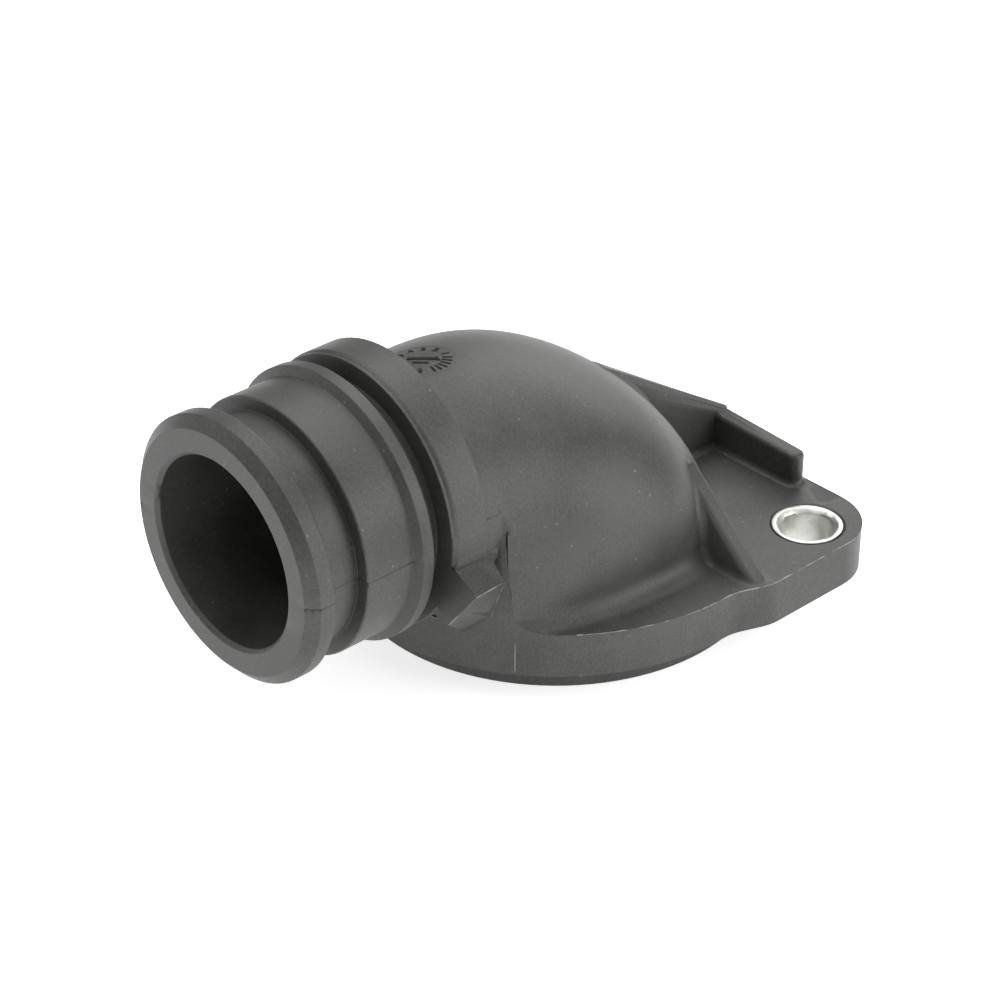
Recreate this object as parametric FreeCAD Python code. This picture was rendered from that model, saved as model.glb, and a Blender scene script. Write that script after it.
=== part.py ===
import FreeCAD, Part
import math
import os

# Elbow shaped coolant outlet that closes over the valve in an engine's cooling circuit:
# one plastic moulding, with two steel sleeves for its bolts.
# Origin: centre of the round flange, in the plane of its seat on the engine.
# +Z is up, away from the engine. The neck points along -Y. All sizes in millimetres.

# Flange
flange_radius = 36.0
flange_thickness = 7.2

# Ring under the flange that centres the housing in the engine
pilot_radius = 32.0
pilot_depth = 4.7
pilot_chamfer = 0.3

# Recess for the valve's rim and its gasket, and the chamber above it
seat_radius = 27.2
seat_depth = 6.0
chamber_radius = 24.0

# Ears for the two bolts, the second half a turn from the first
ear_side = 38.3
ear_rear = 33.4
ear_corner_radius = 9.6
ear_flank_start = 8.0
ear_flank_angle = 3.0
ear_blend_radius = 8.0
bolt_circle_radius = 38.7
bolt_angle = 38.0

# Steel sleeves that take the load of the bolts
sleeve_radius = 5.4
sleeve_bore_radius = 4.0
sleeve_chamfer = 0.7
sleeve_clearance = 0.02
sleeve_relief = 0.4

# Elbow: arches that fan about a level line at the front of the flange, from upright to flat
wall = 3.0
elbow_pivot = -34.0
elbow_foot = 3.5
elbow_foot_half = 20.4
elbow_foot_round = 3.0
# For each arch its fan angle, crown, shoulder and half width
elbow_arches = [
    (0.0, 39.8, 25.2, 20.3),
    (22.5, 43.0, 21.8, 23.4),
    (45.0, 48.2, 28.5, 26.8),
    (67.5, 53.3, 34.9, 27.6),
    (90.0, 56.6, 32.9, 26.3),
]

# Neck: a turned form about a level axis, with a groove for the seal of the hose coupling
neck_height = 25.3
neck_root = -26.0
neck_root_radius = 20.6
neck_root_rise = 1.8
neck_edge_chamfer = 0.2
lip_front = -63.1
lip_face_radius = 18.3
lip_radius = 19.95
lip_slope = 1.5
lip_length = 4.1
seal_groove_radius = 17.3
seal_groove_width = 6.0
barrel_radius = 19.4
barrel_length = 8.1
ring_radius = 20.75
ring_slope = 0.75
ring_length = 2.8
rear_groove_radius = 17.5
rear_groove_width = 3.2

# Bore of the neck, with a funnel down to the throat where it opens into the elbow
bore_radius = 14.3
bore_length = 23.1
bore_chamfer = 0.6
throat_radius = 12.0
throat_end = -12.0

# Half collar over the neck, and the lug under each of its ends. Sides are from the middle plane
# and drops from the neck's axis.
collar_length = 6.3
collar_radius = 20.9
collar_round = 1.3
collar_drop = 3.4
# For each corner of the lug its side and its drop, at its front and at its rear
lug_front = [(13.0, 3.2), (21.2, 3.2), (25.5, 5.6), (22.6, 9.3), (19.7, 13.0), (13.0, 8.0)]
lug_rear = [(13.0, 3.2), (21.5, 3.2), (24.4, 6.3), (21.5, 13.5), (15.9, 18.9), (13.0, 18.9)]

# Low wall along the rear of the first ear, and the web from it up to the elbow
rear_wall_start = 3.0
rear_wall_end = 22.0
rear_wall_top = 12.6
rear_wall_thickness = 3.0
rear_wall_end_round = 1.4
rear_wall_inset = 0.5
rear_web_side = 1.5
rear_web_thickness = 3.5
rear_web_foot = 12.9
rear_web_angle = 33.0
rear_web_end = 6.0

# Web from the elbow's side out over each ear
side_web_front = 5.2
side_web_thickness = 3.0
side_web_foot = 37.0
side_web_angle = 42.0
side_web_head = 21.8

wall_crest_round = 0.8
web_crest_round = 1.0
side_foot_round = 1.2
rear_foot_round = 1.0

# Places along the neck, worked out from the lip backwards
lip_rear = lip_front + lip_length
barrel_front = lip_rear + seal_groove_width
barrel_rear = barrel_front + barrel_length
ring_rear = barrel_rear + ring_length
collar_front = ring_rear + rear_groove_width
collar_rear = collar_front + collar_length

tiny = 0.01
overlap = 1.0


def vec(x, y, z):
    return FreeCAD.Vector(x, y, z)


def prism(points, along):
    """A flat outline pushed straight along a vector."""
    return Part.Face(Part.makePolygon(points + points[:1])).extrude(along)


def upright_cylinder(radius, bottom, top, x=0.0, y=0.0):
    return Part.makeCylinder(radius, top - bottom, vec(x, y, bottom))


def level_cylinder(radius, front, rear):
    return Part.makeCylinder(radius, rear - front, vec(0, front, neck_height), vec(0, 1, 0))


def half_turn(shape):
    """The same form at the opposite ear."""
    return shape.rotated(vec(0, 0, 0), vec(0, 0, 1), 180)


def upright_edges(shape, x, y):
    """The edges that stand over one point of the outline."""
    found = []
    for edge in shape.Edges:
        ends = [vertex.Point for vertex in edge.Vertexes]
        if len(ends) == 2 and abs(ends[0].z - ends[1].z) > tiny:
            if all(math.hypot(end.x - x, end.y - y) < tiny for end in ends):
                found.append(edge)
    return found


def edges_at_height(shape, height):
    """The edges that lie level at one height."""
    return [edge for edge in shape.Edges
            if all(abs(vertex.Z - height) < tiny for vertex in edge.Vertexes)]


def joint_edges(shape, x_range, y_range):
    """In one part of the plan, the edges where a wall or a web meets what it stands on."""
    found = []
    for edge in shape.Edges:
        middle = edge.valueAt((edge.FirstParameter + edge.LastParameter) / 2)
        free = isinstance(edge.Curve, Part.BSplineCurve)
        level = abs(middle.z - flange_thickness) < tiny
        inside = (x_range[0] - tiny < middle.x < x_range[1] + tiny
                  and y_range[0] - tiny < middle.y < y_range[1] + tiny)
        if inside and free != level:
            found.append(edge)
    return found


def round_crest(web, bottom, top):
    """The web with the two long edges of its crest rounded."""
    crest = [edge for edge in web.Edges
             if abs(min(vertex.Z for vertex in edge.Vertexes) - bottom) < tiny
             and abs(max(vertex.Z for vertex in edge.Vertexes) - top) < tiny]
    return web.makeFillet(web_crest_round, crest)


def arch(angle, crown, shoulder, half_width, inset):
    """One section of the elbow: straight sides, then half an ellipse over them."""
    turn = math.radians(angle)
    half = half_width - inset

    def point(across, out):
        return vec(across, elbow_pivot + out * math.sin(turn), out * math.cos(turn))

    foot_half = elbow_foot_half - inset
    middle = (shoulder + elbow_foot) / 2
    top = Part.Ellipse(point(half, shoulder), point(0, crown - inset), point(0, shoulder))
    sides = []
    for hand in (-1, 1):
        side = Part.BezierCurve()
        side.setPoles([point(hand * half, shoulder), point(hand * half, middle),
                       point(hand * foot_half, elbow_foot)])
        sides.append(side.toShape())
    foot = Part.makeLine(point(-foot_half, elbow_foot), point(foot_half, elbow_foot))
    return Part.Wire([sides[0], top.toShape(0, math.pi), sides[1], foot])


def elbow_form(inset):
    """The smooth form that the arches carry, inset by a wall for the hollow."""
    return Part.makeLoft([arch(*section, inset) for section in elbow_arches], True, False)


def flange():
    """Round plate with its two ears, the corners of the outline rounded."""
    turn = math.radians(ear_flank_angle)
    meeting = math.sqrt(flange_radius ** 2 - ear_rear ** 2)
    corners = [
        (flange_radius * math.cos(turn), flange_radius * math.sin(turn), ear_blend_radius),
        (ear_side, ear_flank_start, ear_blend_radius),
        (ear_side, ear_rear, ear_corner_radius),
        (meeting, ear_rear, ear_blend_radius),
    ]
    outline = [vec(0, 0, 0)] + [vec(x, y, 0) for x, y, radius in corners]
    ear = prism(outline, vec(0, 0, flange_thickness))
    plate = upright_cylinder(flange_radius, 0, flange_thickness)
    plate = plate.fuse([ear, half_turn(ear)]).removeSplitter()
    for x, y, radius in corners:
        for side in (1, -1):
            plate = plate.makeFillet(radius, upright_edges(plate, side * x, side * y))
    return plate


def pilot():
    """Ring under the flange, chamfered so that it finds its way into the engine."""
    ring = upright_cylinder(pilot_radius, -pilot_depth, flange_thickness / 2)
    return ring.makeChamfer(pilot_chamfer, edges_at_height(ring, -pilot_depth)[:1])


def neck():
    """The neck's outside, turned about its own axis."""
    bevel = neck_edge_chamfer
    profile = [
        (0, lip_front),
        (lip_face_radius, lip_front),
        (lip_radius, lip_front + lip_slope),
        (lip_radius, lip_rear - bevel),
        (lip_radius - bevel, lip_rear),
        (seal_groove_radius, lip_rear),
        (seal_groove_radius, barrel_front),
        (barrel_radius - bevel, barrel_front),
        (barrel_radius, barrel_front + bevel),
        (barrel_radius, barrel_rear),
        (ring_radius, barrel_rear + ring_slope),
        (ring_radius, ring_rear - bevel),
        (ring_radius - bevel, ring_rear),
        (rear_groove_radius, ring_rear),
        (rear_groove_radius, collar_front),
        (neck_root_radius, collar_front),
        (neck_root_radius, neck_root),
        (0, neck_root),
    ]
    points = [vec(0, y, neck_height + radius) for radius, y in profile]
    face = Part.Face(Part.makePolygon(points + points[:1]))
    form = face.revolve(vec(0, 0, neck_height), vec(0, 1, 0), 360)
    size = 3 * collar_radius
    above = Part.makeBox(size, size, size, vec(-size / 2, collar_rear, neck_height + neck_root_rise))
    return form.cut(above)


def collar():
    """Half ring over the neck, its front edge rounded."""
    ring = level_cylinder(collar_radius, collar_front, collar_rear)
    front = [edge for edge in ring.Edges
             if all(abs(vertex.Y - collar_front) < tiny for vertex in edge.Vertexes)]
    ring = ring.makeFillet(collar_round, front[:1])
    size = 3 * collar_radius
    corner = vec(-size / 2, collar_front - size / 2, neck_height - collar_drop - size)
    return ring.cut(Part.makeBox(size, size, size, corner))


def lug():
    """Stop under one end of the collar, its outline larger behind than in front."""
    wires = []
    for outline, place in ((lug_front, collar_front), (lug_rear, collar_rear)):
        points = [vec(side, place, neck_height - drop) for side, drop in outline]
        wires.append(Part.makePolygon(points + points[:1]))
    return Part.makeLoft(wires, True, True)


def rear_wall():
    """Low wall on the rear edge of the ear, round at its free end."""
    rear = ear_rear - rear_wall_inset
    front = rear - rear_wall_thickness
    form = Part.makeBox(rear_wall_end - rear_wall_start, rear_wall_thickness, rear_wall_top,
                        vec(rear_wall_start, front, 0))
    ends = upright_edges(form, rear_wall_end, front) + upright_edges(form, rear_wall_end, rear)
    form = form.makeFillet(rear_wall_end_round, ends)
    top = [edge for edge in edges_at_height(form, rear_wall_top)
           if edge.CenterOfMass.x > rear_wall_start + tiny]
    return form.makeFillet(wall_crest_round, top)


def rear_web():
    """Web from the rear wall up to the top of the elbow."""
    rear = ear_rear - rear_wall_inset
    high = rear_web_foot + (rear - rear_web_end) * math.tan(math.radians(rear_web_angle))
    outline = [(rear, 0), (rear, rear_web_foot), (rear_web_end, high), (0, high), (0, 0)]
    points = [vec(rear_web_side, y, z) for y, z in outline]
    web = prism(points, vec(rear_web_thickness, 0, 0))
    return round_crest(web, rear_web_foot, high)


def side_web():
    """Web from the elbow's side out over the ear, its crest carried on down into the flange."""
    slope = math.tan(math.radians(side_web_angle))
    high = flange_thickness + (side_web_foot - side_web_head) * slope
    root = side_web_foot + flange_thickness / slope
    inner = side_web_head / 2
    outline = [(root, 0), (side_web_head, high), (inner, high), (inner, 0)]
    points = [vec(x, side_web_front, z) for x, z in outline]
    web = prism(points, vec(0, side_web_thickness, 0))
    return round_crest(web, 0, high)


def raised():
    """What stands on the flange: elbow, webs and rear wall, with the rounds at their feet.
    It's made on a wide plate that is taken away again. Below the neck it is flush with the flange."""
    size = 6 * flange_radius
    plate = upright_cylinder(size / 2, 0, flange_thickness)
    form = elbow_form(0).fuse(plate).removeSplitter()
    foot = [edge for edge in edges_at_height(form, flange_thickness)
            if edge.CenterOfMass.y > elbow_pivot + tiny and edge.Length < size]
    form = form.makeFillet(elbow_foot_round, foot)
    web = side_web()
    form = form.fuse([web, half_turn(web), rear_wall(), rear_web()]).removeSplitter()
    web_rear = side_web_front + side_web_thickness
    for side in (1, -1):
        x_range = sorted((side * side_web_head / 2, side * ear_side))
        y_range = sorted((side * side_web_front, side * web_rear))
        form = form.makeFillet(side_foot_round, joint_edges(form, x_range, y_range))
    web_side = rear_web_side + rear_web_thickness
    wall_front = ear_rear - rear_wall_inset - rear_wall_thickness
    feet = joint_edges(form, (rear_web_side, web_side), (0, wall_front))
    feet += joint_edges(form, (web_side + 2 * tiny, rear_wall_end), (wall_front, ear_rear))
    form = form.makeFillet(rear_foot_round, feet)
    below = Part.makeBox(size, size, size, vec(-size / 2, -size / 2, flange_thickness - size))
    behind = Part.makeBox(size, size, size, vec(-size / 2, ear_rear - rear_wall_inset, 0))
    top = neck_height + neck_root_rise
    beyond = upright_cylinder(size, 0, top).cut(upright_cylinder(flange_radius, -overlap, top + overlap))
    beyond = beyond.cut(Part.makeBox(size, size, size, vec(-size / 2, 0, 0)))
    return form.cut(below).cut(behind).cut(beyond)


def passage():
    """The hollow: seat recess, chamber under the elbow and the neck's bore."""
    below = -2 * pilot_depth
    hollow = elbow_form(wall)
    chamber = hollow.common(upright_cylinder(chamber_radius, below, 2 * neck_height))
    seat = upright_cylinder(seat_radius, below, seat_depth - pilot_depth)
    bore_end = lip_front + bore_length
    bore = level_cylinder(bore_radius, lip_front - overlap, bore_end)
    funnel = Part.makeCone(bore_radius, throat_radius, elbow_pivot - bore_end,
                           vec(0, bore_end, neck_height), vec(0, 1, 0))
    throat = level_cylinder(throat_radius, elbow_pivot, throat_end).common(hollow)
    mouth = Part.makeCone(bore_radius + 2 * bore_chamfer, bore_radius, 2 * bore_chamfer,
                          vec(0, lip_front - bore_chamfer, neck_height), vec(0, 1, 0))
    return chamber.fuse([seat, bore, funnel, throat, mouth])


def bolt_places():
    """Centres of the two bolt holes."""
    turn = math.radians(bolt_angle)
    x = bolt_circle_radius * math.cos(turn)
    y = bolt_circle_radius * math.sin(turn)
    return [(x, y), (-x, -y)]


def housing():
    """The whole moulding."""
    first_lug = lug()
    second_lug = first_lug.mirror(vec(0, 0, 0), vec(1, 0, 0))
    form = flange().fuse([pilot(), raised(), neck(), collar(), first_lug, second_lug])
    form = form.cut(passage())
    hole_radius = sleeve_radius + sleeve_clearance
    for x, y in bolt_places():
        hole = upright_cylinder(hole_radius, -overlap, flange_thickness + overlap, x, y)
        relief = Part.makeCone(hole_radius, hole_radius + 2 * sleeve_relief, 2 * sleeve_relief,
                               vec(x, y, flange_thickness - sleeve_relief))
        form = form.cut(hole.fuse(relief))
    return form.removeSplitter()


def sleeve(x, y):
    """Steel sleeve, flush with both faces of the flange, its bore chamfered at each end."""
    tube = upright_cylinder(sleeve_radius, 0, flange_thickness, x, y)
    bore = upright_cylinder(sleeve_bore_radius, -overlap, flange_thickness + overlap, x, y)
    wide = sleeve_bore_radius + sleeve_chamfer
    top = Part.makeCone(sleeve_bore_radius, wide, sleeve_chamfer,
                        vec(x, y, flange_thickness - sleeve_chamfer))
    bottom = Part.makeCone(wide, sleeve_bore_radius, sleeve_chamfer, vec(x, y, 0))
    return tube.cut(bore.fuse([top, bottom]))


os.makedirs("parts", exist_ok=True)
housing().exportStep("parts/housing_body.step")
for name, place in zip(("bolt_sleeve_front", "bolt_sleeve_rear"), bolt_places()):
    sleeve(*place).exportStep("parts/" + name + ".step")
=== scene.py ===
import math

import bmesh
import bpy
from mathutils import Matrix, Vector
from mathutils.bvhtree import BVHTree


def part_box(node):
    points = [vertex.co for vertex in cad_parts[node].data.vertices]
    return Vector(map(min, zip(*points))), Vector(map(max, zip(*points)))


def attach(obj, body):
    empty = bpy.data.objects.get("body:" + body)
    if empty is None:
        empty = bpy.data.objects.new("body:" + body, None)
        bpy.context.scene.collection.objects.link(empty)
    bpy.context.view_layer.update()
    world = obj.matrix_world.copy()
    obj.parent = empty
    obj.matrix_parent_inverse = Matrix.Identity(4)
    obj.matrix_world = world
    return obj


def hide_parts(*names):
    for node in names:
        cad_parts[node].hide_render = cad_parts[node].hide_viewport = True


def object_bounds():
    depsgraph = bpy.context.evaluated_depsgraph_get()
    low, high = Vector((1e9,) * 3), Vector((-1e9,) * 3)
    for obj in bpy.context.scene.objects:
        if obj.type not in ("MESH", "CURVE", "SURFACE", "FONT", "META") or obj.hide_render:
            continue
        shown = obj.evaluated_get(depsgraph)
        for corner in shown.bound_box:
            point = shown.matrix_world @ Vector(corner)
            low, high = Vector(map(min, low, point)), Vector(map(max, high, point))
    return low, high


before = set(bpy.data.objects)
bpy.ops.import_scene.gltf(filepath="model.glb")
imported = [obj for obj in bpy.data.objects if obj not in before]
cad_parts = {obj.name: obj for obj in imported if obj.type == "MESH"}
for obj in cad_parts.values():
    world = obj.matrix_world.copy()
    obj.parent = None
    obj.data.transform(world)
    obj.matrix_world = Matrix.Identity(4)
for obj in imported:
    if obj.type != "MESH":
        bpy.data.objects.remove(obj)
cad_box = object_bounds()

# Housing: flange, ears, elbow, neck, half collar, lugs and webs in one injection moulding.
# The plastic is filled with glass fibre and comes satin from the tool, each edge a little soft.
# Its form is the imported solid's, but for three places that are drawn closer to the real one below.
weld_gap = 0.000002
flat_angle = math.radians(0.4)
sharp_angle = math.radians(24)
plastic_edge = 0.00011
trial_rounds = 5
trouble_reach = 0.0010
most_overshoot = 1.3
turned_over = -0.1
least_area = 1e-11

dark_plastic = (0.026, 0.026, 0.0245, 1)
light_plastic = (0.056, 0.055, 0.051, 1)
fleck_colour = (0.16, 0.16, 0.15, 1)
grain_share = 0.7
grain_strength = 0.42
grain_depth = 0.00003


def welded(node):
    """The solid's mesh as one closed form, with flat neighbours joined to one face."""
    form = bmesh.new()
    form.from_mesh(node.data)
    bmesh.ops.remove_doubles(form, verts=form.verts, dist=weld_gap)
    bmesh.ops.dissolve_limit(form, angle_limit=flat_angle, use_dissolve_boundaries=False,
                             verts=form.verts, edges=form.edges)
    return form


def softened(form, edge):
    """The form with its sharp edges broken; where that would overshoot, the edge stays sharp."""
    surface = BVHTree.FromBMesh(form)
    trouble = []
    for trial_round in range(trial_rounds):
        trial = form.copy()
        sharp = []
        for line in trial.edges:
            if line.calc_face_angle(0) > sharp_angle:
                middle = (line.verts[0].co + line.verts[1].co) / 2
                reach = trouble_reach + line.calc_length() / 2
                if all((middle - spot).length > reach for spot in trouble):
                    sharp.append(line)
        bmesh.ops.bevel(trial, geom=sharp, offset=edge, offset_type="OFFSET", affect="EDGES",
                        segments=2, profile=0.5, material=-1, clamp_overlap=False)
        bmesh.ops.remove_doubles(trial, verts=trial.verts, dist=weld_gap)
        trial.normal_update()
        found = []
        for face in trial.faces:
            spot, normal, _, gap = surface.find_nearest(face.calc_center_median())
            flipped = face.normal.dot(normal) < turned_over and face.calc_area() > least_area
            if gap > most_overshoot * edge or flipped:
                found.append(spot)
        if not found or trial_round == trial_rounds - 1:
            form.free()
            return trial
        trouble += found
        trial.free()


def finished(form, name, material):
    """The bmesh as an object of the scene, shaded smooth and riding on the body."""
    bmesh.ops.triangulate(form, faces=form.faces)
    mesh = bpy.data.meshes.new(name)
    form.to_mesh(mesh)
    form.free()
    for face in mesh.polygons:
        face.use_smooth = True
    mesh.materials.append(material)
    piece = bpy.data.objects.new(name, mesh)
    bpy.context.scene.collection.objects.link(piece)
    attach(piece, "root")
    return piece


def evenly_shaded(piece):
    """Lets the large faces lead the shading, so that broken edges leave no shadow on them."""
    even = piece.modifiers.new("even shading", "WEIGHTED_NORMAL")
    even.keep_sharp = True


def new_material(name):
    """A material, with its node tree, its shader and the piece's own coordinates."""
    material = bpy.data.materials.new(name)
    material.use_nodes = True
    tree = material.node_tree
    place = tree.nodes.new("ShaderNodeTexCoord").outputs["Object"]
    return material, tree, tree.nodes["Principled BSDF"], place


def noise(tree, place, scale, detail):
    """An uneven amount from 0 to 1 over the surface."""
    texture = tree.nodes.new("ShaderNodeTexNoise")
    texture.inputs["Scale"].default_value = scale
    texture.inputs["Detail"].default_value = detail
    tree.links.new(place, texture.inputs["Vector"])
    return texture.outputs["Fac"]


def toned(tree, amount, start, dark, end, light):
    """A colour that goes from dark to light as the amount goes from start to end."""
    tone = tree.nodes.new("ShaderNodeValToRGB")
    first, last = tone.color_ramp.elements
    first.position = start
    first.color = dark
    last.position = end
    last.color = light
    tree.links.new(amount, tone.inputs["Fac"])
    return tone.outputs["Color"]


def mapped(tree, amount, start, end, low, high):
    """A value that goes from low to high as the amount goes from start to end."""
    change = tree.nodes.new("ShaderNodeMapRange")
    change.inputs["From Min"].default_value = start
    change.inputs["From Max"].default_value = end
    change.inputs["To Min"].default_value = low
    change.inputs["To Max"].default_value = high
    tree.links.new(amount, change.inputs["Value"])
    return change.outputs["Result"]


# Cloudy and fine change of tone over the surface, from the flow of the fibres
plastic, tree, shader, place = new_material("moulded plastic")
cloud = noise(tree, place, scale=70, detail=4)
grain = noise(tree, place, scale=2600, detail=3)
mottle = tree.nodes.new("ShaderNodeMath")
mottle.operation = "MULTIPLY_ADD"
mottle.inputs[1].default_value = grain_share
tree.links.new(grain, mottle.inputs[0])
tree.links.new(cloud, mottle.inputs[2])
tone = toned(tree, mottle.outputs["Value"], start=0.65, dark=dark_plastic, end=1.0, light=light_plastic)

# Light flecks where fibres and dust lie at the surface, thick in some patches and none in others
fleck = tree.nodes.new("ShaderNodeTexVoronoi")
fleck.inputs["Scale"].default_value = 520
tree.links.new(place, fleck.inputs["Vector"])
fleck_size = mapped(tree, fleck.outputs["Distance"], start=0.05, end=0.12, low=1, high=0)
patch = noise(tree, place, scale=140, detail=2)
patch_share = mapped(tree, patch, start=0.42, end=0.7, low=0, high=1)
fleck_share = tree.nodes.new("ShaderNodeMath")
fleck_share.operation = "MULTIPLY"
tree.links.new(fleck_size, fleck_share.inputs[0])
tree.links.new(patch_share, fleck_share.inputs[1])
flecked = tree.nodes.new("ShaderNodeMix")
flecked.data_type = "RGBA"
under, over = flecked.inputs[6:8]
tree.links.new(fleck_share.outputs["Value"], flecked.inputs["Factor"])
tree.links.new(tone, under)
over.default_value = fleck_colour
tree.links.new(flecked.outputs[2], shader.inputs["Base Color"])

# Satin grain of the tool, which breaks up the gloss and the shading
gloss = mapped(tree, cloud, start=0, end=1, low=0.40, high=0.56)
tree.links.new(gloss, shader.inputs["Roughness"])
grain_bump = tree.nodes.new("ShaderNodeBump")
grain_bump.inputs["Strength"].default_value = grain_strength
grain_bump.inputs["Distance"].default_value = grain_depth
tree.links.new(grain, grain_bump.inputs["Height"])
tree.links.new(grain_bump.outputs["Normal"], shader.inputs["Normal"])

housing_form = welded(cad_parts["housing_body"])

# Rear wall, whose top rises a little toward the web
wall_left = 0.0031
wall_right = 0.022
wall_front = 0.0285
wall_low = 0.0084
wall_top = 0.0126
wall_margin = 0.0003
wall_rise = 0.00065
rise_start = 0.0205
rise_length = 0.0145
rise_most = 1.15
for point in housing_form.verts:
    x, y, z = point.co
    if wall_left < x < wall_right and y > wall_front and wall_low < z < wall_top + wall_margin:
        along = min((rise_start - min(x, rise_start)) / rise_length, rise_most)
        point.co.z += wall_rise * along * (z - wall_low) / (wall_top - wall_low)

# Rear web, whose end comes down to the wall's top
web_end_start = 0.029
web_end_left = -0.0005
web_end_right = 0.0052
web_end_top = 0.0133
for point in housing_form.verts:
    if point.co.y > web_end_start and web_end_left < point.co.x < web_end_right:
        point.co.z = min(point.co.z, web_end_top)

# Elbow's front corners, drawn round along the flange's rim until they stand nearly upright.
# The lean is an angle round the flange for each metre of height.
flange_top = 0.0072
flange_radius = 0.036
rim_gap = 0.0001
hair = 0.00001
neck_height = 0.0253
neck_root_radius = 0.0206
neck_fade = 0.0015
corner_side = 0.020
corner_foot = math.radians(-52.1)
corner_lean = math.radians(-150)
corner_top = 0.0265
corner_fade = 0.003
corner_most = math.radians(3.8)
corner_reach = math.radians(14)
corner_depth = 0.008
corner_blend = 0.0048


def is_ridge(line):
    """Whether an edge is a sharp one that stands outward."""
    return line.is_convex and line.calc_face_angle(0) > sharp_angle


def eased(share):
    """Smooth step from 0 to 1."""
    share = min(max(share, 0), 1)
    return share * share * (3 - 2 * share)


def corner_angle(height):
    """Where the solid has the corner's edge at this height, as an angle round the flange."""
    if height <= corner_steps[0][0]:
        return corner_steps[0][1]
    for (low, first), (high, second) in zip(corner_steps, corner_steps[1:]):
        if low <= height <= high:
            return first + (second - first) * (height - low) / (high - low)
    return corner_steps[-1][1]


def corner_shift(height):
    """How far the corner's edge is drawn round at this height."""
    upright = corner_foot + corner_lean * max(height - flange_top, 0)
    shift = min(max(corner_angle(height) - upright, 0), corner_most)
    return shift * min((corner_top - height) / corner_fade, 1)


corner_heights = {}
for line in housing_form.edges:
    if is_ridge(line):
        for point in line.verts:
            x, y, z = point.co
            in_front = x > corner_side and y < -corner_side and flange_top + rim_gap < z < corner_top
            if in_front and abs(math.hypot(x, y) - flange_radius) < rim_gap:
                corner_heights[round(z, 6)] = math.atan2(y, x)
corner_steps = sorted(corner_heights.items())

for point in housing_form.verts:
    x, y, z = point.co
    reach = math.hypot(x, y)
    outside = reach > flange_radius + rim_gap or not -hair <= z <= corner_top
    under_flange = z < flange_top - hair and reach < flange_radius - rim_gap
    if outside or under_flange:
        continue
    angle = math.atan2(y, abs(x))
    beside = angle - corner_angle(z)
    share = 1 - eased(-beside / corner_reach if beside < 0 else beside / (2 * corner_reach))
    share *= eased((reach - flange_radius + corner_depth) / corner_blend)
    share *= eased((math.hypot(x, z - neck_height) - neck_root_radius) / neck_fade)
    shift = corner_shift(z) * share
    if shift > 0:
        point.co.x = math.copysign(reach * math.cos(angle - shift), x)
        point.co.y = reach * math.sin(angle - shift)
housing_form.normal_update()
housing_form = softened(housing_form, plastic_edge)

# Parting line of the tool along both sides of the neck, a hair's breadth open
parting_end = -0.0446
parting_width = 0.00008
parting_depth = 0.00017
parted_radius = 0.0152
cut_snap = 1e-7
cut_near = 1e-6
for height in (neck_height - parting_width, neck_height, neck_height + parting_width):
    near_parts = {}
    for face in housing_form.faces:
        centre = face.calc_center_median()
        if centre.y < parting_end and math.hypot(centre.x, centre.z - neck_height) > parted_radius:
            near_parts.update(dict.fromkeys([face, *face.edges, *face.verts]))
    bmesh.ops.bisect_plane(housing_form, geom=list(near_parts), dist=cut_snap,
                           plane_co=(0, 0, height), plane_no=(0, 0, 1))
housing_form.normal_update()
for point in housing_form.verts:
    on_neck = point.co.y < parting_end and abs(point.co.x) > parted_radius
    if on_neck and abs(point.co.z - neck_height) < cut_near:
        point.co -= parting_depth * point.normal

housing = finished(housing_form, "housing", plastic)
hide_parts("housing_body")
evenly_shaded(housing)

# Flash and painted highlight: the thin burr that the tool leaves where its parts close, on the flange's
# top edge, on the lugs' ridges and down the flange's side. It is pressed thin, so it is paler and
# broken.
# Its pale tone is also a painted highlight, standing in for light caught along these sharp edges.
flash_radius = 0.00006
shortest_run = 0.002
bolt_keep_off = 0.0075
lug_reach = 0.0190
lug_front = -0.0390
lug_rear = -0.0325
lug_low = 0.0105
lug_high = 0.0203
seam_place = (0.02207, -0.02844)
seam_steps = 12
dark_burr_and_highlight = (0.07, 0.07, 0.068, 1)
light_burr_and_highlight = (0.36, 0.36, 0.35, 1)

# Painted highlight: the beads' pale tone stands partly for light caught on the edges, partly for real
# flash.
flash_and_highlight_plastic, tree, shader, place = new_material("flash and painted highlight")
breaks = noise(tree, place, scale=420, detail=3)
paleness = toned(tree, breaks, start=0.42, dark=dark_burr_and_highlight, end=0.62, light=light_burr_and_highlight)
tree.links.new(paleness, shader.inputs["Base Color"])
shader.inputs["Roughness"].default_value = 0.5


def bead(name, points, radius, material):
    """A thin round line of plastic through the given points, kept inside the solid's box."""
    curve = bpy.data.curves.new(name, "CURVE")
    curve.dimensions = "3D"
    curve.bevel_depth = radius
    curve.bevel_resolution = 1
    curve.use_fill_caps = True
    spline = curve.splines.new("POLY")
    spline.points.add(len(points) - 1)
    for knot, point in zip(spline.points, points):
        inside = [min(max(at, low + radius), high - radius) for at, low, high in zip(point, *cad_box)]
        knot.co = (*inside, 1)
    curve.materials.append(material)
    line = bpy.data.objects.new(name, curve)
    bpy.context.scene.collection.objects.link(line)
    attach(line, "root")


solid = bmesh.new()
solid.from_mesh(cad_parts["housing_body"].data)
bmesh.ops.remove_doubles(solid, verts=solid.verts, dist=weld_gap)
solid_tree = BVHTree.FromBMesh(solid)
sleeve_names = ("bolt_sleeve_front", "bolt_sleeve_rear")
bolts = []
for name in sleeve_names:
    low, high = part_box(name)
    bolts.append(((low[0] + high[0]) / 2, (low[1] + high[1]) / 2))


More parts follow.
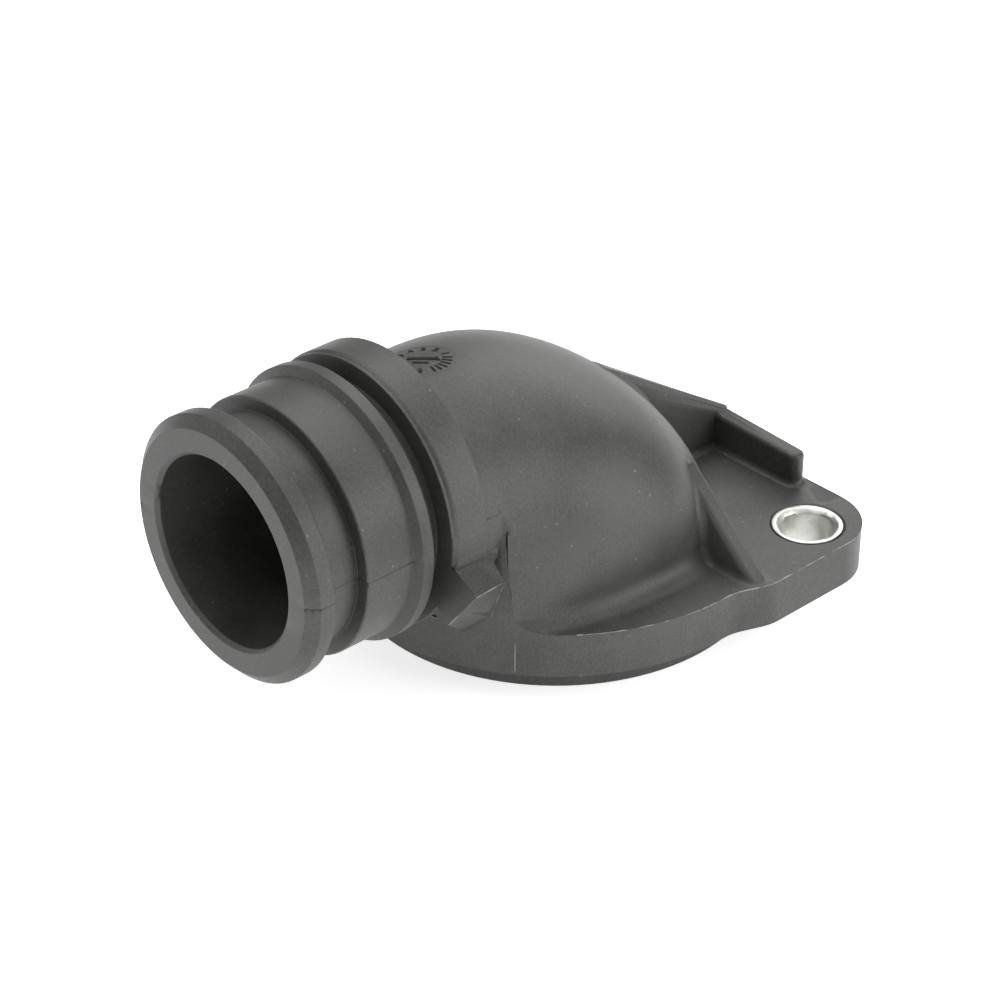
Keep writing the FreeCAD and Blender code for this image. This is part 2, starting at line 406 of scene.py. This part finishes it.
def edge_runs(wanted):
    """The chains of the solid's sharp outer edges that pass the given test."""
    ends = {}
    for line in solid.edges:
        if is_ridge(line) and wanted(*[point.co for point in line.verts]):
            for point in line.verts:
                ends.setdefault(point, []).append(line)
    runs = []
    while ends:
        loose = [point for point in ends if len(ends[point]) == 1]
        point = loose[0] if loose else next(iter(ends))
        run = [point.co.copy()]
        while ends.get(point):
            line = ends[point][0]
            for end in line.verts:
                ends[end].remove(line)
                if not ends[end]:
                    del ends[end]
            point = line.other_vert(point)
            run.append(point.co.copy())
        if sum((b - a).length for a, b in zip(run, run[1:])) > shortest_run:
            runs.append(run)
    return runs


def on_rim(first, second):
    """Whether an edge lies on the flange's top edge, clear of the bolts."""
    level = all(abs(end.z - flange_top) < hair for end in (first, second))
    clear = all(math.hypot(first.x - x, first.y - y) > bolt_keep_off for x, y in bolts)
    return level and clear


def on_lug(first, second):
    """Whether an edge is one of the lugs' ridges."""
    return all(abs(end.x) > lug_reach and lug_front < end.y < lug_rear and lug_low < end.z < lug_high
               for end in (first, second))


for number, run in enumerate(edge_runs(on_rim), 1):
    bead("rim_flash_and_highlight_%d" % number, run, flash_radius, flash_and_highlight_plastic)
for number, run in enumerate(edge_runs(on_lug), 1):
    bead("lug_flash_and_highlight_%d" % number, run, flash_radius, flash_and_highlight_plastic)
seam = [Vector((*seam_place, flange_top * step / seam_steps)) for step in range(1, seam_steps + 1)]
bead("side_flash_and_highlight", seam, flash_radius, flash_and_highlight_plastic)

# Date dial on the crown of the elbow: a round insert of the tool, with figures and ticks round an
# arrow. They stand out by a hair; their near-black tone is painted shade, standing in for the shadow
# in engraved marks, so they look darker than the satin round them.
dial_centre = Vector((-0.0026, -0.0239, 0))
dial_turn = math.radians(75)
dial_ring_radius = 0.0037
figures = 9
figure_step = math.radians(30)
figure_size = 0.0017
figure_boldness = 0.00005
ticks = 6
tick_start = math.radians(20)
tick_step = math.radians(14)
tick_length = 0.0015
tick_width = 0.00034
arrow_length = 0.0042
arrow_width = 0.0009
arrow_turn = Matrix.Rotation(math.radians(42), 4, "Z")
second_bar_shift = -0.0014
second_bar_share = 0.55
mark_height = 0.00005
mark_cuts = 4
outline_radius = 0.0049
outline_bead = 0.00003
outline_steps = 72
above_dome = 0.06
dark_mark_shade = (0.004, 0.004, 0.004, 1)
light_mark_shade = (0.02, 0.02, 0.019, 1)

# Painted shade: the marks' near-black tone, a little uneven, stands for the shadow in engraved figures.
painted_shade_marks, tree, shader, place = new_material("marks in painted shade")
shade_mottle = noise(tree, place, scale=900, detail=2)
mark_shade_tone = toned(tree, shade_mottle, start=0, dark=dark_mark_shade, end=1, light=light_mark_shade)
tree.links.new(mark_shade_tone, shader.inputs["Base Color"])
shader.inputs["Roughness"].default_value = 0.85
shader.inputs["Specular IOR Level"].default_value = 0.2


def outward(angle):
    """The direction from the dial's centre at an angle."""
    return Vector((math.cos(angle), math.sin(angle), 0))


def on_dome(point):
    """The place on the solid's outside straight above or below a point."""
    return solid_tree.ray_cast(Vector((point.x, point.y, above_dome)), Vector((0, 0, -1)))[0]


def add_bar(turn, shift, length, width):
    """A flat bar of the dial, turned round its centre and shifted in its own directions."""
    size = Matrix.Diagonal((length, width, 2 * mark_height, 1))
    bmesh.ops.create_cube(dial, size=1, matrix=dial_place @ turn @ Matrix.Translation(shift) @ size)


dial = bmesh.new()
dial_place = Matrix.Translation(dial_centre)
for tick in range(ticks):
    turn = Matrix.Rotation(dial_turn - tick_start - tick_step * tick, 4, "Z")
    add_bar(turn, (dial_ring_radius, 0, 0), tick_length, tick_width)
for shift, share in ((0, 1), (second_bar_shift, second_bar_share)):
    add_bar(arrow_turn, (0, shift, 0), arrow_length * share, arrow_width * share)
bmesh.ops.create_cone(dial, cap_ends=True, segments=3, radius1=arrow_width, radius2=arrow_width,
                      depth=2 * mark_height,
                      matrix=dial_place @ arrow_turn @ Matrix.Translation((arrow_length / 2, 0, 0)))
bmesh.ops.subdivide_edges(dial, edges=dial.edges[:], cuts=mark_cuts, use_grid_fill=True)
for number in range(figures):
    angle = dial_turn + figure_step * number
    text = bpy.data.curves.new("figure", "FONT")
    text.body = str(number + 1)
    text.size = figure_size
    text.extrude = mark_height
    text.offset = figure_boldness
    text.align_x = "CENTER"
    text.align_y = "CENTER"
    figure = bpy.data.objects.new("figure", text)
    bpy.context.scene.collection.objects.link(figure)
    bpy.context.view_layer.update()
    shape = figure.evaluated_get(bpy.context.evaluated_depsgraph_get()).to_mesh()
    turned = Matrix.Rotation(angle - math.pi / 2, 4, "Z")
    shape.transform(Matrix.Translation(dial_centre + dial_ring_radius * outward(angle)) @ turned)
    dial.from_mesh(shape)
    bpy.data.objects.remove(figure)
for point in dial.verts:
    point.co.z += on_dome(point.co).z
finished(dial, "date_dial", painted_shade_marks)
outline = []
for step in range(outline_steps + 1):
    angle = math.tau * step / outline_steps
    outline.append(on_dome(dial_centre + outline_radius * outward(angle)))
bead("dial_outline", outline, outline_bead, plastic)
solid.free()

# Bolt sleeves: short steel tubes moulded into the ears, which carry the load of the bolts.
# They are turned, chamfered in the bore and zinc plated, flush with both faces of the flange.
steel_edge = 0.00008
dark_zinc = (0.50, 0.51, 0.48, 1)
light_zinc = (0.74, 0.74, 0.70, 1)

steel, tree, shader, place = new_material("zinc plated steel")
bloom = noise(tree, place, scale=600, detail=4)
zinc = toned(tree, bloom, start=0.3, dark=dark_zinc, end=0.7, light=light_zinc)
tree.links.new(zinc, shader.inputs["Base Color"])
zinc_gloss = mapped(tree, bloom, start=0, end=1, low=0.3, high=0.5)
tree.links.new(zinc_gloss, shader.inputs["Roughness"])
shader.inputs["Metallic"].default_value = 1

for name in sleeve_names:
    sleeve_form = softened(welded(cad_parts[name]), steel_edge)
    sleeve = finished(sleeve_form, name + "_plated", steel)
    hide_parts(name)
    evenly_shaded(sleeve)

# Floor: a sheet of white paper under the part, wide enough to fill the view, that glows a little.
# It lies at the height of the pilot ring's end, on which the part stands.
floor_size = 3.0
paper_tone = 0.9
paper_roughness = 0.9
paper_glow = 0.71
paper = bpy.data.materials.new("paper")
paper.use_nodes = True
shader = paper.node_tree.nodes["Principled BSDF"]
shader.inputs["Base Color"].default_value = (paper_tone, paper_tone, paper_tone, 1)
shader.inputs["Roughness"].default_value = paper_roughness
shader.inputs["Emission Color"].default_value = (1, 1, 1, 1)
shader.inputs["Emission Strength"].default_value = paper_glow
floor_form = bmesh.new()
bmesh.ops.create_grid(floor_form, x_segments=1, y_segments=1, size=floor_size,
                      matrix=Matrix.Translation((0, 0, cad_box[0][2])))
floor_mesh = bpy.data.meshes.new("floor")
floor_form.to_mesh(floor_mesh)
floor_form.free()
floor_mesh.materials.append(paper)
floor = bpy.data.objects.new("floor", floor_mesh)
bpy.context.scene.collection.objects.link(floor)

# Camera: from in front on the neck's right, well above the part, with a long lens.
# It looks past the frame's origin, a little to the side and above it.
azimuth = math.radians(47.5)
elevation = math.radians(31.9)
distance = 0.440
aside = -0.0082
raised = 0.00634
focal_length = 102.77
nearest_view = 0.01
across = Vector((math.cos(azimuth), math.sin(azimuth), 0))
away = Vector((math.sin(azimuth) * math.cos(elevation), -math.cos(azimuth) * math.cos(elevation),
               math.sin(elevation)))
upward = away.cross(across)
eye = aside * across + raised * upward + distance * away
lens = bpy.data.cameras.new("camera")
lens.lens = focal_length
lens.clip_start = nearest_view
camera = bpy.data.objects.new("camera", lens)
bpy.context.scene.collection.objects.link(camera)
camera.matrix_world = Matrix((
    (across.x, upward.x, away.x, eye.x),
    (across.y, upward.y, away.y, eye.y),
    (across.z, upward.z, away.z, eye.z),
    (0, 0, 0, 1)))
bpy.context.scene.camera = camera

# Light: a bright white room with four soft boxes: overhead, on the camera's right and left, and
# behind the part. The floor's glow fills the shadows from below.
room_strength = 0.38


def soft_box(name, place, aim, width, height, watts):
    """A box of even light at a place, turned toward its aim."""
    data = bpy.data.lights.new(name, "AREA")
    data.shape = "RECTANGLE"
    data.size = width
    data.size_y = height
    data.energy = watts
    lamp = bpy.data.objects.new(name, data)
    lamp.location = place
    lamp.rotation_euler = (Vector(aim) - Vector(place)).to_track_quat("-Z", "Y").to_euler()
    bpy.context.scene.collection.objects.link(lamp)


soft_box("top", (-0.1, 0.05, 0.7), aim=(0, 0, 0), width=0.9, height=0.9, watts=5.2)
soft_box("right", (0.65, 0.35, 0.3), aim=(0, 0, 0.01), width=0.5, height=0.5, watts=3.0)
soft_box("left", (-0.55, -0.55, 0.35), aim=(0, 0, 0.01), width=0.5, height=0.5, watts=0.87)
soft_box("back", (-0.3, 0.7, 0.4), aim=(0, 0, 0.02), width=0.6, height=0.5, watts=2.10)
room = bpy.data.worlds.new("room")
room.use_nodes = True
background = room.node_tree.nodes["Background"]
background.inputs["Color"].default_value = (1, 1, 1, 1)
background.inputs["Strength"].default_value = room_strength
bpy.context.scene.world = room
bpy.context.scene.view_settings.view_transform = "Standard"
